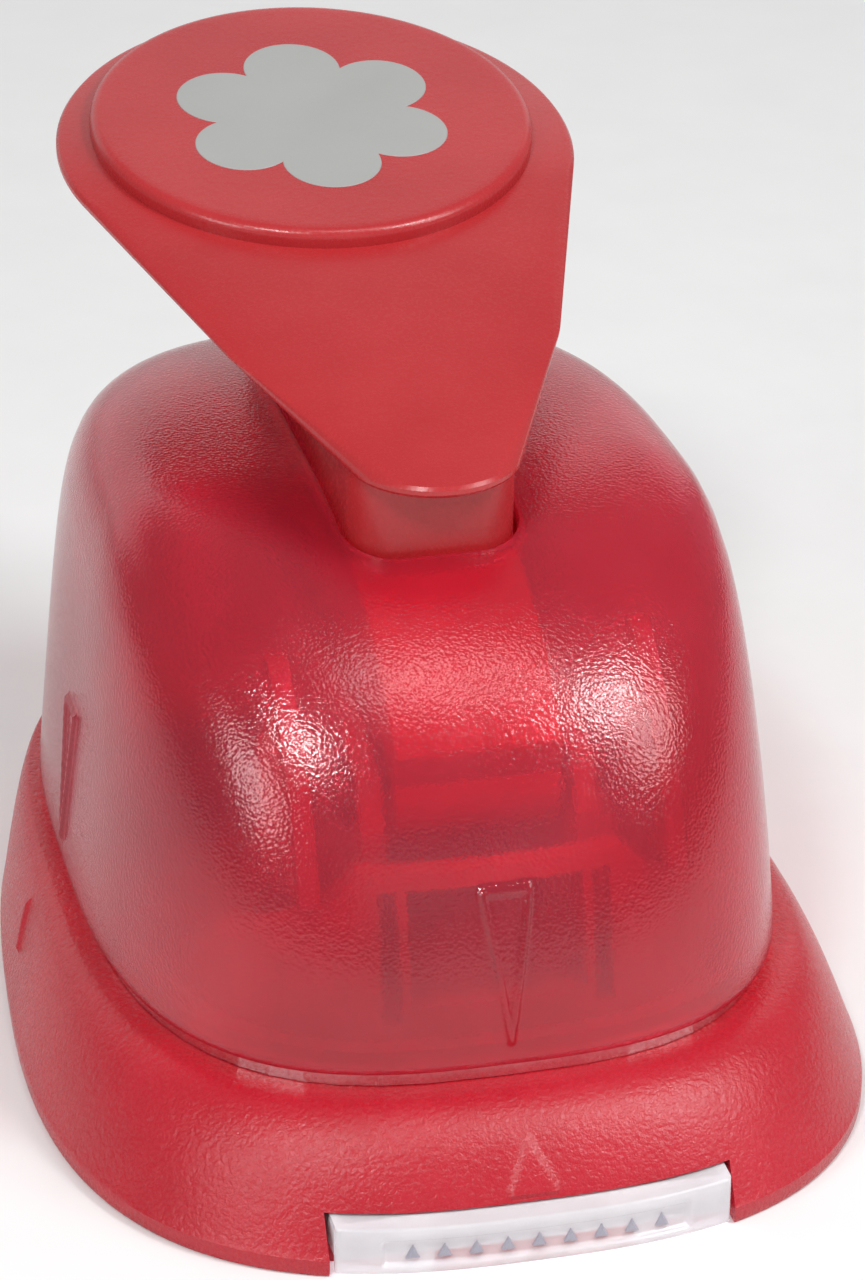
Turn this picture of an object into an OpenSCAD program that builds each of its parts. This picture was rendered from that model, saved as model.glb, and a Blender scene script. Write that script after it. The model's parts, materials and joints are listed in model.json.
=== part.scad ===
// Two-part craft punch: an upper unit with a thumb lever and a flower-shaped
// cutter is lifted off a lower unit that carries the die plate and a chip tray.
// Origin: middle of the underside. +Z up, the tray and the pivot side face -Y.

/* [Base] */
// Half width of the base outline, before the taper
base_half_w = 45; // [43:0.5:47]
// Depth of the base in front of the cutter's axis
base_front_d = 66.5; // [65:0.5:68]
// Depth of the base behind the cutter's axis
base_back_d = 58; // [56:0.5:66]
// How much narrower the outline gets towards the back
base_taper = 0.16; // [0.08:0.01:0.2]
// Height of the deck that the upper unit rests on
deck_z = 14.6; // [14.4:0.1:15]
// Height of the upright outer edge of the skirt
skirt_edge = 2; // [2:0.5:3]
// Height of the tray notch in the front of the skirt
notch_h = 6.4; // [6.3:0.1:6.8]

/* [Chip tray] */
// Half width of the drawer
tray_half_w = 21.6; // [20.5:0.1:21.8]
// Depth of the drawer body behind its lip
tray_d = 82; // [70:1:84]
// Height of the front lip
lip_h = 5.8; // [5.2:0.1:6]

/* [Housing] */
// Height of the rim above the floor
rim_z = 16.5; // [16.4:0.1:17]
// Half width at the rim
dome_half_w = 38.3; // [38:0.1:39]
// Depth of the rim in front of the cutter's axis
dome_front_d = 53.1; // [52.8:0.1:53.6]
// Depth of the rim behind the cutter's axis
dome_back_d = 53.5; // [52.5:0.1:54]
// Height of the dome above its rim
dome_h = 47.4; // [47:0.1:48]
// Wall thickness
dome_wall = 2.2; // [2:0.1:2.4]

/* [Motif] */
// Distance from the motif's centre to each petal's centre
petal_ring = 10.4; // [8:0.1:10.5]
// Radius of one petal
petal_r = 5.6; // [4.6:0.1:5.8]
// Gap between cutter and die
cut_gap = 0.06; // [0.02:0.01:0.1]

/* [Lever] */
// Distance of the hinge in front of the cutter's axis
pivot_d = 32; // [31:0.5:33]
// Height of the hinge
pivot_z = 40; // [39.5:0.1:40.5]
// Half width of the lever's stem
stem_half_w = 9.3; // [9:0.1:9.4]
// Distance of the thumb pad's centre behind the cutter's axis
pad_y = 41.1; // [40:0.1:42]
// Height of the thumb pad's face
pad_z = 87; // [86:0.1:88]
// Rise of the pad towards the back
pad_tilt = 8.4; // [7:0.1:9]
// Radius of the flange round the thumb pad
pad_r = 29.7; // [29:0.1:30]
// Radius of the raised disc on the pad
disc_r = 25.4; // [25:0.1:25.8]

/* [Hidden] */

$fn = 48;
eps = 0.01;
ring_steps = 56;        // points round each outline
dome_rings = 11;        // levels of the dome
skirt_rings = 8;        // levels of the skirt

base_power = 2.66;      // squareness of the base outline
dome_power = 2.88;      // squareness of the housing outline
dome_taper = 0.035;
dome_draft_side = 0.105; // share of the size lost from rim to crown
dome_draft_front = 0.05;
dome_draft_back = 0;
dome_round_side = 10;   // how late the walls turn over into the crown
dome_round_front = 2.37;
dome_round_back = 4.6;
skirt_power = 0.9;      // below 1 the skirt is hollow, above 1 it bulges

deck_ledge = 1.2;       // deck showing round the housing
skirt_wall = 2.6;
deck_t = 4;
deck_under = deck_z - deck_t;
mark_h = 0.45;          // how far the alignment arrows stand proud
mark_from = 20;         // the arrows are cut from prisms that start this far from the middle
base_mark = [11.6, 7.2, 2.9];      // height of the tip, height of the root, half width
housing_mark = [19.5, 36, 2.6];

cover_t = 1.8;
cover_gap = 0.3;
rail_t = 2;
rail_gap = 1;
rail_top = 6.6;
rail_front = 9;         // the rails start this far behind the tray's front
tray_floor_z = 2;
tray_top = 5.8;
tray_wall = 1.2;
tray_front = 2.8 - base_front_d;
notch_half_w = tray_half_w + 0.6;
notch_d = 12;           // how far the notch reaches in from the front

die_half_w = 30;
die_half_d = 32;
die_t = 2;
die_fit = 0.2;
die_window_w = 22;
die_window_d = 24;
die_under = deck_z - die_t;
die_screw_x = 26;
die_screw_y = 28;

magnet_r = 4;
magnet_t = 2;
magnet_x = 18.5;
magnet_y = 38;
magnet_fit = 0.05;
magnet_skin = 0.8;      // material left above the magnets of the base

cover_screws = [[30, -40], [31, 33]];
cover_boss_r = 3.2;
screw_r = 1.2;
screw_fit = 0.06;
sink_fit = 0.2;         // clearance round a countersunk head
screw_head_r = 2.3;
screw_head_t = 1.3;

plate_gap = 0.1;        // the two halves meet with this much play
plate_t = 1.4;
plate_z = deck_z + plate_gap;
plate_top = plate_z + plate_t;
plate_inset = 1.1;
flange_z = plate_top + 0.05;
flange_t = 2.1;
flange_top = flange_z + flange_t;
flange_inset = dome_wall + 0.5;
cutter_well_r = 17.4;

boss_r = 3;
front_boss = [19.8, -32.5];
back_boss = [24, 33];
boss_z = flange_top + 0.05;
boss_top = rim_z + dome_h - 8;
rib_t = 2.4;
rib_low_z = 33.5;
rib_top_z = 56;

stem_front = -20;
stem_back = 34.6;
stem_corner = 5;
slot_gap = 0.6;
slot_back = 40.5;

pivot_y = -pivot_d;
pin_r = 2;
pin_fit = 0.05;
knuckle_r = 5.4;
ear_in = 10.4;
ear_out = 13;
clip_r = 3.6;
clip_t = 0.8;
pin_end = ear_out + clip_t + 0.7;

press_angle = 8;        // travel of the lever, in degrees
flange_shift = 2.4;     // the flange's middle lies this far in front of the disc's
flange_low = 4.1;
waist_y = 6.4;
waist_z = 77.6;
waist_r = 19.7;
nose_y = -14;
nose_z = 70.7;
nose_r = 9.65;
nose_t = 1.6;
inlay_t = 0.56;
stem_mid_y = 22;
stem_top_z = 71;
roller_r = 5;
roller_half_w = 4;
roller_pin_r = 1.5;
roller_slot_half_w = 4.5;

cutter_z = 15.2;
cutter_h = 10.8;
carriage_z = cutter_z + cutter_h;
carriage_t = 5;
column_top = pivot_z - roller_r - 0.06;
post_x = 24;
post_r = 2;
post_top = 40.5;
post_fit = 0.06;
arm_x = 28;
arm_half_d = 5;
window_half_d = 12.6;    // opening in the cheeks for cutter and carriage
window_top = 34;

spring_r = 3.2;
wire_r = 0.45;
spring_turns = 4;
turn_steps = 14;
wire_sides = 7;
spring_low = flange_top + wire_r + 0.03;
spring_high = carriage_z - wire_r - 0.03;

function sign_of(v) = v < 0 ? -1 : 1;
function super(v, half, power) = half * sign_of(v) * pow(abs(v), 2 / power);

// Rounded-square outline: half width, half depth to the front and to the back,
// squareness and taper.
function outline(hw, hdf, hdb, power, taper) = [for (i = [0 : ring_steps - 1])
    let (a = 360 * i / ring_steps, y = super(sin(a), sin(a) < 0 ? hdf : hdb, power))
    [super(cos(a), hw, power) * (1 - taper * y / hdf), y]];
function level(pts, z) = [for (p = pts) [p[0], p[1], z]];
function blend(p, q, u) = [for (i = [0 : len(p) - 1]) p[i] * (1 - u) + q[i] * u];

function shrink(t, draft, roundness) = (1 - draft * t) * pow(1 - pow(t, roundness), 1 / roundness);
function dome_level(t, inset) = level(outline(
    (dome_half_w - inset) * shrink(t, dome_draft_side, dome_round_side),
    (dome_front_d - inset) * shrink(t, dome_draft_front, dome_round_front),
    (dome_back_d - inset) * shrink(t, dome_draft_back, dome_round_back),
    dome_power, dome_taper), rim_z + (dome_h - inset) * t);
function dome_levels(inset) = [for (i = [0 : dome_rings]) dome_level(1 - pow(1 - 0.97 * i / dome_rings, 2), inset)];

function skirt_outline(inset) =
    outline(base_half_w - inset, base_front_d - inset, base_back_d - inset, base_power, base_taper);
function rim_outline(inset) =
    outline(dome_half_w - inset, dome_front_d - inset, dome_back_d - inset, dome_power, dome_taper);
function skirt_rise(u) = pow(1 - pow(1 - u, 2), 1 / skirt_power);
function skirt_levels(inset, top) = [for (i = [0 : skirt_rings]) let (u = pow(i / skirt_rings, 1.6))
    level(blend(skirt_outline(inset), rim_outline(inset - deck_ledge), u), skirt_edge + (top - skirt_edge) * skirt_rise(u))];

// Closed solid through a stack of rings that all have the same number of points
module loft(rings) {
    n = len(rings[0]);
    m = len(rings);
    polyhedron(
        points = [for (r = rings) each r],
        faces = concat(
            [[for (i = [0 : n - 1]) i]],
            [[for (i = [n - 1 : -1 : 0]) (m - 1) * n + i]],
            [for (j = [0 : m - 2]) for (i = [0 : n - 1])
                [j * n + i, (j + 1) * n + i, (j + 1) * n + (i + 1) % n]],
            [for (j = [0 : m - 2]) for (i = [0 : n - 1])
                [j * n + i, (j + 1) * n + (i + 1) % n, j * n + (i + 1) % n]]));
}

module outline_plate(pts, z, t) {
    translate([0, 0, z]) linear_extrude(height = t) polygon(pts);
}

module slab(low, high) {
    translate(low) cube(high - low);
}

// A profile drawn in Y and Z, as thick as 2 * half_w across X
module side_profile(pts, half_w) {
    rotate([90, 0, 90]) translate([0, 0, -half_w]) linear_extrude(height = 2 * half_w) polygon(pts);
}

module across(y, z, r, half_len) {
    translate([-half_len, y, z]) rotate([0, 90, 0]) cylinder(r = r, h = 2 * half_len);
}

module at_corners(x, y) {
    for (sx = [-1, 1]) for (sy = [-1, 1]) translate([sx * x, sy * y, 0]) children();
}

module at_cover_screws() {
    for (p = cover_screws) for (s = [-1, 1]) translate([s * p[0], p[1], 0]) children();
}

module at_bosses() {
    for (p = [front_boss, back_boss]) for (s = [-1, 1]) translate([s * p[0], p[1], 0]) children();
}

module petals(r, h) {
    linear_extrude(height = h) union() {
        for (i = [0 : 5]) rotate([0, 0, 30 + 60 * i]) translate([petal_ring, 0]) circle(r = r);
        circle(r = petal_ring, $fn = 6);
    }
}

module dome_solid(inset) {
    loft(dome_levels(inset));
}

module skirt_solid(inset, low, top) {
    loft(concat([level(skirt_outline(inset), low)], skirt_levels(inset, top)));
}

// Triangles that run outwards to the front and to both sides: [tip height, root height, half width]
module arrow_prisms(mark) {
    for (turn = [-90, 0, 90]) rotate([0, 0, turn]) translate([0, -mark_from, 0]) rotate([90, 0, 0])
        linear_extrude(height = base_front_d) polygon([[0, mark[0]], [-mark[2], mark[1]], [mark[2], mark[1]]]);
}

module base_shell() {
    color("crimson") difference() {
        union() {
            difference() {
                skirt_solid(0, 0, deck_z);
                skirt_solid(skirt_wall, -1, deck_under);
            }
            at_cover_screws()
                translate([0, 0, cover_t + 0.05]) cylinder(r = cover_boss_r, h = deck_under - cover_t);
            intersection() {
                difference() {
                    skirt_solid(-mark_h, 0, deck_z + mark_h);
                    skirt_solid(skirt_wall / 2, -1, deck_under + 1);
                }
                arrow_prisms(base_mark);
            }
        }
        slab([-notch_half_w, -base_front_d - 1, -1], [notch_half_w, -base_front_d + notch_d, notch_h]);
        slab([-die_half_w - die_fit, -die_half_d - die_fit, die_under],
            [die_half_w + die_fit, die_half_d + die_fit, deck_z + 1]);
        slab([-die_window_w, -die_window_d, deck_under - 1], [die_window_w, die_window_d, deck_z]);
        at_corners(magnet_x, magnet_y) translate([0, 0, deck_under - 1])
            cylinder(r = magnet_r + magnet_fit, h = deck_t - magnet_skin + 1);
        at_corners(die_screw_x, die_screw_y) translate([0, 0, deck_under - 1])
            cylinder(r = screw_r + screw_fit, h = deck_t);
        at_cover_screws() cylinder(r = screw_r + screw_fit, h = deck_under - 1);
    }
}

module base_cover() {
    color("firebrick") difference() {
        union() {
            outline_plate(skirt_outline(skirt_wall + cover_gap), 0, cover_t);
            for (s = [-1, 1]) translate([s * (tray_half_w + rail_gap + rail_t / 2), 0, 0])
                slab([-rail_t / 2, tray_front + rail_front, cover_t - eps],
                    [rail_t / 2, tray_front + tray_d + 1, rail_top]);
            slab([-tray_half_w - rail_gap - rail_t, tray_front + tray_d + 0.6, cover_t],
                [tray_half_w + rail_gap + rail_t, tray_front + tray_d + 0.6 + rail_t, rail_top]);
        }
        slab([-notch_half_w, -base_front_d, -1], [notch_half_w, tray_front + 0.2, cover_t + 1]);
        at_cover_screws() screw_sink(-1, cover_t + 2, 0);
    }
}

module base_cover_screws() {
    color("silver") at_cover_screws() flush_screw(0.1, 9);
}

// Countersunk screw whose flat head starts at z and whose tip points up
module flush_screw(z, length) {
    translate([0, 0, z]) difference() {
        union() {
            cylinder(r1 = screw_head_r, r2 = screw_r, h = screw_head_t);
            cylinder(r = screw_r, h = length);
        }
        translate([-screw_head_r, -0.3, -eps]) cube([2 * screw_head_r, 0.6, 0.5]);
    }
}

// Clearance hole for a flush screw: bore from low, with the sink for its head starting at z
module screw_sink(low, length, z) {
    translate([0, 0, low]) cylinder(r = screw_r + screw_fit, h = length);
    translate([0, 0, z - eps])
        cylinder(r1 = screw_head_r + sink_fit, r2 = screw_r + screw_fit, h = screw_head_t + sink_fit);
}

module die_plate() {
    color("gray") difference() {
        slab([-die_half_w, -die_half_d, die_under], [die_half_w, die_half_d, deck_z]);
        translate([0, 0, die_under - 1]) petals(petal_r, die_t + 2);
        at_corners(die_screw_x, die_screw_y) translate([0, 0, die_under - 1])
            cylinder(r = screw_r + screw_fit, h = 2.4);
    }
}

module die_screws() {
    color("silver") at_corners(die_screw_x, die_screw_y) {
        translate([0, 0, deck_under - screw_head_t]) cylinder(r = screw_head_r, h = screw_head_t);
        translate([0, 0, deck_under - screw_head_t]) cylinder(r = screw_r, h = screw_head_t + 3.3);
    }
}

module base_magnets() {
    color("dimgray") at_corners(magnet_x, magnet_y)
        translate([0, 0, deck_z - magnet_skin - magnet_t - 0.05]) cylinder(r = magnet_r, h = magnet_t);
}

module chip_tray() {
    lip_back = tray_front - 0.2;
    color("whitesmoke") difference() {
        union() {
            slab([-tray_half_w, lip_back, tray_floor_z], [tray_half_w, tray_front + tray_d, tray_top]);
            intersection() {
                outline_plate(skirt_outline(0), 0.4, lip_h - 0.4);
                slab([-tray_half_w, -base_front_d, 0], [tray_half_w, lip_back + eps, lip_h]);
            }
        }
        slab([-tray_half_w + tray_wall, tray_front + 0.4, tray_floor_z + tray_wall],
            [tray_half_w - tray_wall, tray_front + tray_d - tray_wall, tray_top + 1]);
        slab([-tray_half_w - 1, lip_back - 1, lip_h], [tray_half_w + 1, tray_front + 0.4, tray_top + 1]);
    }
}

module housing_ribs() {
    for (s = [-1, 1]) {
        translate([s * front_boss[0], 0, 0]) side_profile([[-60, rib_low_z], [front_boss[1], rib_low_z],
            [front_boss[1], boss_z + 4], [front_boss[1] + boss_r, boss_z + 4], [-26, rib_top_z],
            [-60, rib_top_z]], rib_t / 2);
        translate([s * back_boss[0], 0, 0]) side_profile([[back_boss[1], 26], [60, 26], [60, rib_top_z],
            [back_boss[1], rib_top_z]], rib_t / 2);
    }
}

module housing_shell() {
    color("crimson", 0.6) difference() {
        union() {
            difference() {
                dome_solid(0);
                translate([0, 0, -eps]) dome_solid(dome_wall);
            }
            intersection() {
                dome_solid(dome_wall / 2);
                union() {
                    housing_ribs();
                    at_bosses() translate([0, 0, boss_z]) cylinder(r = boss_r, h = boss_top - boss_z);
                }
            }
            intersection() {
                difference() {
                    dome_solid(-mark_h);
                    translate([0, 0, -eps]) dome_solid(dome_wall / 2);
                }
                arrow_prisms(housing_mark);
            }
        }
        translate([0, 0, rim_z + dome_h / 2]) linear_extrude(height = dome_h)
            stem_plan(slot_gap, slot_back);
        at_bosses() translate([0, 0, boss_z - 1]) cylinder(r = screw_r + screw_fit, h = 9);
    }
}

module inner_frame() {
    color("indianred") difference() {
        union() {
            outline_plate(rim_outline(flange_inset), flange_z, flange_t);
            frame_cheeks();
            slab([-ear_out, 36, flange_top - eps], [ear_out, 38.4, 42]);
            for (s = [-1, 1]) post_bridge(s);
            frame_apron();
        }
        translate([0, 0, flange_z - 1]) cylinder(r = cutter_well_r, h = flange_t + 2);
        across(pivot_y, pivot_z, pin_r + pin_fit, ear_out + 5);
        for (s = [-1, 1]) translate([s * post_x, 0, flange_z - 1]) cylinder(r = post_r + 0.03, h = post_top);
        at_corners(magnet_x, magnet_y) translate([0, 0, flange_z - 1])
            cylinder(r = magnet_r + magnet_fit, h = flange_t + 2);
        at_bosses() translate([0, 0, flange_z - 1]) cylinder(r = screw_r + screw_fit, h = flange_t + 2);
    }
}

// The two upright walls that hold the hinge pin, with windows for the carriage's arms
module frame_cheeks() {
    for (s = [-1, 1]) difference() {
        translate([s * (ear_in + ear_out) / 2, 0, 0]) side_profile([[-38.5, flange_top - eps],
            [38, flange_top - eps], [38, 42], [8, 46], [-28, 46], [-36, 43.5], [-38.5, 38]],
            (ear_out - ear_in) / 2);
        slab([-ear_out - 1, -window_half_d, flange_top - 1], [ear_out + 1, window_half_d, window_top]);
    }
}

module post_bridge(s) {
    x_low = min(s * (ear_out - eps), s * 31);
    x_high = max(s * (ear_out - eps), s * 31);
    leg_low = min(s * 29, s * 31);
    leg_high = max(s * 29, s * 31);
    slab([x_low, -6, 36], [x_high, 6, 39]);
    slab([leg_low, -6, flange_top - eps], [leg_high, 6, 39]);
}

module frame_apron() {
    difference() {
        intersection() {
            difference() {
                dome_solid(dome_wall + 2.4);
                dome_solid(dome_wall + 4.4);
            }
            translate([0, -15, 0]) rotate([90, 0, 0]) linear_extrude(height = 50)
                polygon([[-31, flange_top - eps], [31, flange_top - eps], [27, 27], [21, 30.5], [17.6, 32.5],
                    [14.4, 36], [-14.4, 36], [-17.6, 32.5], [-21, 30.5], [-27, 27]]);
        }
        slab([-9.6, -60, 22], [9.6, 0, 34.2]);
        for (s = [-1, 1]) slab([s * 11.6 - 1, -60, 20], [s * 11.6 + 1, 0, 34.2]);
    }
}

module guide_plate() {
    color("lightgray") difference() {
        outline_plate(rim_outline(plate_inset), plate_z, plate_t);
        translate([0, 0, plate_z - 1]) petals(petal_r, plate_t + 2);
        at_bosses() screw_sink(plate_z - 1, plate_t + 2, plate_z);
    }
}

module upper_magnets() {
    color("dimgray") at_corners(magnet_x, magnet_y) translate([0, 0, flange_z]) cylinder(r = magnet_r, h = magnet_t);
}

module housing_screws() {
    color("silver") at_bosses() flush_screw(plate_z + 0.03, 10);
}

module guide_posts() {
    color("silver") for (s = [-1, 1]) translate([s * post_x, 0, flange_z]) cylinder(r = post_r, h = post_top - flange_z);
}

module pivot_pin() {
    color("silver") difference() {
        across(pivot_y, pivot_z, pin_r, pin_end);
        for (s = [-1, 1]) translate([s * (ear_out + 0.1 + clip_t / 2), pivot_y, pivot_z]) rotate([0, 90, 0])
            difference() {
                cylinder(r = pin_r + 1, h = clip_t, center = true);
                cylinder(r = pin_r - 0.5, h = clip_t + 1, center = true);
            }
    }
}

module pivot_clips() {
    color("dimgray") for (s = [-1, 1]) translate([s * (ear_out + 0.1 + clip_t / 2), pivot_y, pivot_z])
        rotate([0, 90, 0]) difference() {
            cylinder(r = clip_r, h = clip_t - 0.06, center = true);
            cylinder(r = pin_r - 0.45, h = clip_t + 1, center = true);
            translate([-1, 0, -clip_t]) cube([2, clip_r + 1, 2 * clip_t]);
        }
}

// Outline of the lever's neck where it goes through the housing: round front corners
module stem_plan(gap, back) {
    inner = stem_half_w - stem_corner;
    for (s = [-1, 1]) translate([s * inner, stem_front + stem_corner]) circle(r = stem_corner + gap);
    translate([-inner, stem_front - gap]) square([2 * inner, back - stem_front + gap]);
    translate([-stem_half_w - gap, stem_front + stem_corner])
        square([2 * (stem_half_w + gap), back - stem_front - stem_corner]);
}

module on_pad() {
    translate([0, pad_y, pad_z]) rotate([pad_tilt, 0, 0]) children();
}

module lever_handle() {
    color("red") difference() {
        union() {
            hull() {
                on_pad() translate([0, -flange_shift, -flange_low]) cylinder(r1 = pad_r - 1.2, r2 = pad_r, h = 2);
                translate([0, waist_y, waist_z]) rotate([pad_tilt, 0, 0]) cylinder(r = waist_r, h = 0.2);
                translate([0, nose_y, nose_z]) cylinder(r1 = nose_r, r2 = nose_r - 0.6, h = nose_t);
                translate([0, stem_mid_y, stem_top_z]) cylinder(r = stem_half_w - 0.5, h = 2);
            }
            on_pad() translate([0, 0, -flange_low]) cylinder(r = disc_r, h = flange_low - 0.8);
            on_pad() translate([0, 0, -0.8]) cylinder(r1 = disc_r, r2 = disc_r - 0.8, h = 0.8);
            lever_stem();
            across(pivot_y, pivot_z, knuckle_r, stem_half_w);
        }
        across(pivot_y, pivot_z, pin_r + pin_fit, stem_half_w + 1);
        slab([-roller_slot_half_w, -roller_r - 2.5, 20], [roller_slot_half_w, roller_r + 2.5, pivot_z + roller_r + 2]);
        across(0, pivot_z, roller_pin_r, stem_half_w + 1);
        on_pad() translate([0, 0, -inlay_t - 0.04]) petals(petal_r + 0.04, 2);
    }
}

module lever_stem() {
    side_profile([[-38, 46.4], [-30.4, 52.6], [-22, 57.2], [-19.8, 58], [-14, 59.4], [32, 60], [30, 50], [9, 35.8],
        [-9, 35.8], [-30.6, 35], [-36.6, 41.6]], stem_half_w);
    intersection() {
        linear_extrude(height = pad_z) stem_plan(0, stem_back);
        side_profile([[-21, 57.4], [-21, 71], [20, 76], [35, 76], [35, 57]], stem_half_w + 1);
    }
}

module motif_inlay() {
    color("darkgray") on_pad() translate([0, 0, -inlay_t]) petals(petal_r, inlay_t);
}

module roller_pin() {
    color("silver") across(0, pivot_z, roller_pin_r - 0.02, stem_half_w - 0.2);
}

module press_roller() {
    color("gray") difference() {
        across(0, pivot_z, roller_r, roller_half_w);
        across(0, pivot_z, roller_pin_r + 0.03, roller_half_w + 1);
    }
}

module punch_carriage() {
    color("slategray") difference() {
        union() {
            translate([0, 0, carriage_z]) cylinder(r = 15, h = carriage_t);
            slab([-arm_x, -arm_half_d, carriage_z], [arm_x, arm_half_d, carriage_z + carriage_t]);
            translate([0, 0, carriage_z]) cylinder(r = 4.2, h = column_top - carriage_z);
        }
        for (s = [-1, 1]) translate([s * post_x, 0, carriage_z - 1]) cylinder(r = post_r + post_fit, h = 20);
        translate([0, 0, carriage_z - 1]) cylinder(r = 1.56, h = carriage_t);
    }
}

module flower_cutter() {
    color("lightsteelblue") difference() {
        translate([0, 0, cutter_z]) petals(petal_r - cut_gap, cutter_h);
        translate([0, 0, cutter_z - 1]) cylinder(r = 6, h = cutter_h - 3);
        translate([0, 0, cutter_z]) cylinder(r = 1.56, h = cutter_h + 1);
    }
}

module cutter_screw() {
    color("silver") {
        translate([0, 0, cutter_z + cutter_h - 4 - 1.8]) cylinder(r = 3, h = 1.78);
        translate([0, 0, cutter_z + cutter_h - 4 - 1]) cylinder(r = 1.5, h = 7.6);
    }
}

// Compression spring: a wire swept along a helix
function helix_ring(k) = let (n = spring_turns * turn_steps, a = 360 * k / turn_steps,
    z = spring_low + (spring_high - spring_low) * k / n)
    [for (j = [0 : wire_sides - 1]) let (b = 360 * j / wire_sides, r = spring_r + wire_r * cos(b))
        [r * cos(a), r * sin(a), z + wire_r * sin(b)]];

module return_springs() {
    color("silver") for (s = [-1, 1]) translate([s * post_x, 0, 0])
        loft([for (k = [0 : spring_turns * turn_steps]) helix_ring(k)]);
}

base_shell();
base_cover();
base_cover_screws();
die_plate();
die_screws();
base_magnets();
chip_tray();
housing_shell();
inner_frame();
guide_plate();
upper_magnets();
housing_screws();
guide_posts();
pivot_pin();
pivot_clips();
lever_handle();
motif_inlay();
roller_pin();
press_roller();
punch_carriage();
flower_cutter();
cutter_screw();
return_springs();
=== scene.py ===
# Looks of the two-part craft punch: translucent domed upper unit with a thumb
# lever, on a red skirted base with a chip tray. Lengths are in millimetres until
# a mesh is made, with the same origin and axes as the CAD model.
import json
import math
import bmesh
import bpy
import numpy as np
from mathutils import Matrix, Vector

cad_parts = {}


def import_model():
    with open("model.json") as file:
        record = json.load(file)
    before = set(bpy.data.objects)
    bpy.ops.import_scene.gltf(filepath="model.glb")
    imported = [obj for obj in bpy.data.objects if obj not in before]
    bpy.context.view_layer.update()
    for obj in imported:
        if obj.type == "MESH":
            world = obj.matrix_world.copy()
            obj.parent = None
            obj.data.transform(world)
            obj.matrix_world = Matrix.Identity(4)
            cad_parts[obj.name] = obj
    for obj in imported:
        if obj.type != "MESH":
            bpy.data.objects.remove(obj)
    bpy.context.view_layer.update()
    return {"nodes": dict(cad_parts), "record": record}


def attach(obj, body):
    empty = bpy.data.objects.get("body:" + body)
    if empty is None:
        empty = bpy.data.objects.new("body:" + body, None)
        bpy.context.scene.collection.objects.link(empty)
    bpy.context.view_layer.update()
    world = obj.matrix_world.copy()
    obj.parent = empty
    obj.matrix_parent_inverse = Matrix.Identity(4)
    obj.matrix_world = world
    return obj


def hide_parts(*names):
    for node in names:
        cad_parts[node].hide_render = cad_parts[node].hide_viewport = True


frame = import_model()

MM = 0.001

# Sizes in millimetres. Those of the base, housing, lever and tray are the CAD model's.
BASE_HALF_W, BASE_FRONT_D, BASE_BACK_D = 45.0, 66.5, 58.0
BASE_POWER, BASE_TAPER = 2.66, 0.16
SKIRT_EDGE, SKIRT_WALL, SKIRT_POWER = 2.0, 2.6, 0.9
DECK_Z, DECK_UNDER, DECK_LEDGE = 14.6, 10.6, 1.2
NOTCH_HALF_W, NOTCH_H, NOTCH_D = 22.2, 6.4, 12.0
DIE_HALF_W, DIE_HALF_D, DIE_UNDER = 30.2, 32.2, 12.6
DIE_WINDOW_W, DIE_WINDOW_D = 22.0, 24.0
TRAY_HALF_W, TRAY_FRONT, TRAY_D = 21.6, -63.7, 82.0
TRAY_FLOOR, TRAY_TOP, TRAY_WALL = 2.0, 5.8, 1.2
LIP_LOW, LIP_H, LIP_SHELF_D, LIP_SHELF_T = 0.4, 6.1, 6.5, 0.8
HOLLOW_LOW, HOLLOW_TOP, HOLLOW_D, HOLLOW_END = 1.15, 4.75, 0.75, 4.6
NIB_COUNT, NIB_SPAN, NIB_HALF_W, NIB_LOW, NIB_TOP = 9, 13.6, 0.75, 2.2, 3.7
RIM_Z, DOME_H, DOME_WALL = 16.5, 47.4, 2.2
DOME_HALF_W, DOME_FRONT_D, DOME_BACK_D = 38.3, 53.1, 53.5
DOME_POWER, DOME_TAPER = 2.88, 0.035
DRAFT_SIDE, DRAFT_FRONT, DRAFT_BACK = 0.105, 0.05, 0.0
ROUND_SIDE, ROUND_FRONT, ROUND_BACK = 10.0, 2.37, 4.6
FRONT_BOSS, BACK_BOSS, BOSS_R, BOSS_Z = (19.8, -32.5), (24.0, 33.0), 3.0, 18.3
FRONT_BOSS_TOP, BACK_BOSS_TOP = 47.0, 55.0
RIB_HALF_T, RIB_IN_WALL = 1.2, 0.5
FRONT_RIB_LOW, FRONT_RIB_TOP, BACK_RIB_LOW, BACK_RIB_TOP = 33.5, 54.5, 27.0, 55.0
STEM_HALF_W, STEM_FRONT, STEM_BACK, STEM_CORNER = 9.3, -20.0, 34.6, 5.0
SLOT_GAP, SLOT_BACK, SLOT_MIDDLE = 0.6, 40.5, np.array([0.0, 10.0])
CROWN_T = 0.8                       # share of the dome's height where its crown begins
PAD_Y, PAD_Z, PAD_TILT, PAD_R, DISC_R = 41.1, 87.0, math.radians(8.4), 29.7, 25.4
FLANGE_SHIFT, FLANGE_TOP, FLANGE_LOW = 2.4, -2.1, -4.1
WAIST = (6.4, 77.6, 19.7)           # y, z and radius of the fan's waist
NOSE = (-16.2, 70.3, 9.65, 1.6)     # y, z, radius and thickness of its nose
STEM_TOP, DISC_EDGE = (22, 71), 1.1
PETAL_RING, PETAL_R = 10.4, 5.6
PIVOT_Y, PIVOT_Z, KNUCKLE_R = -32.0, 40.0, 5.4
ROLLER_R, ROLLER_SLOT = 5.0, 4.5

# Raised arrow marks, and how finely the lofts are divided
MARK_H, MARK_LINE_H, MARK_LINE_W, MARK_FACE_H = 0.4, 0.6, 0.36, 0.12
BASE_MARK = (12.2, 6.8, 3.15)       # tip, root and half width of the arrow on the base
HOUSING_MARK = (19.5, 36.0, 2.6)    # the same on the housing
MARK_ZONE = 4.2                     # half the width that gets finer columns round a mark
BASE_COLUMNS, SKIRT_LEVELS, DOME_COLUMNS, MARK_COLUMNS = 300, 34, 340, 5


# ---------------------------------------------------------------- shape functions

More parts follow.
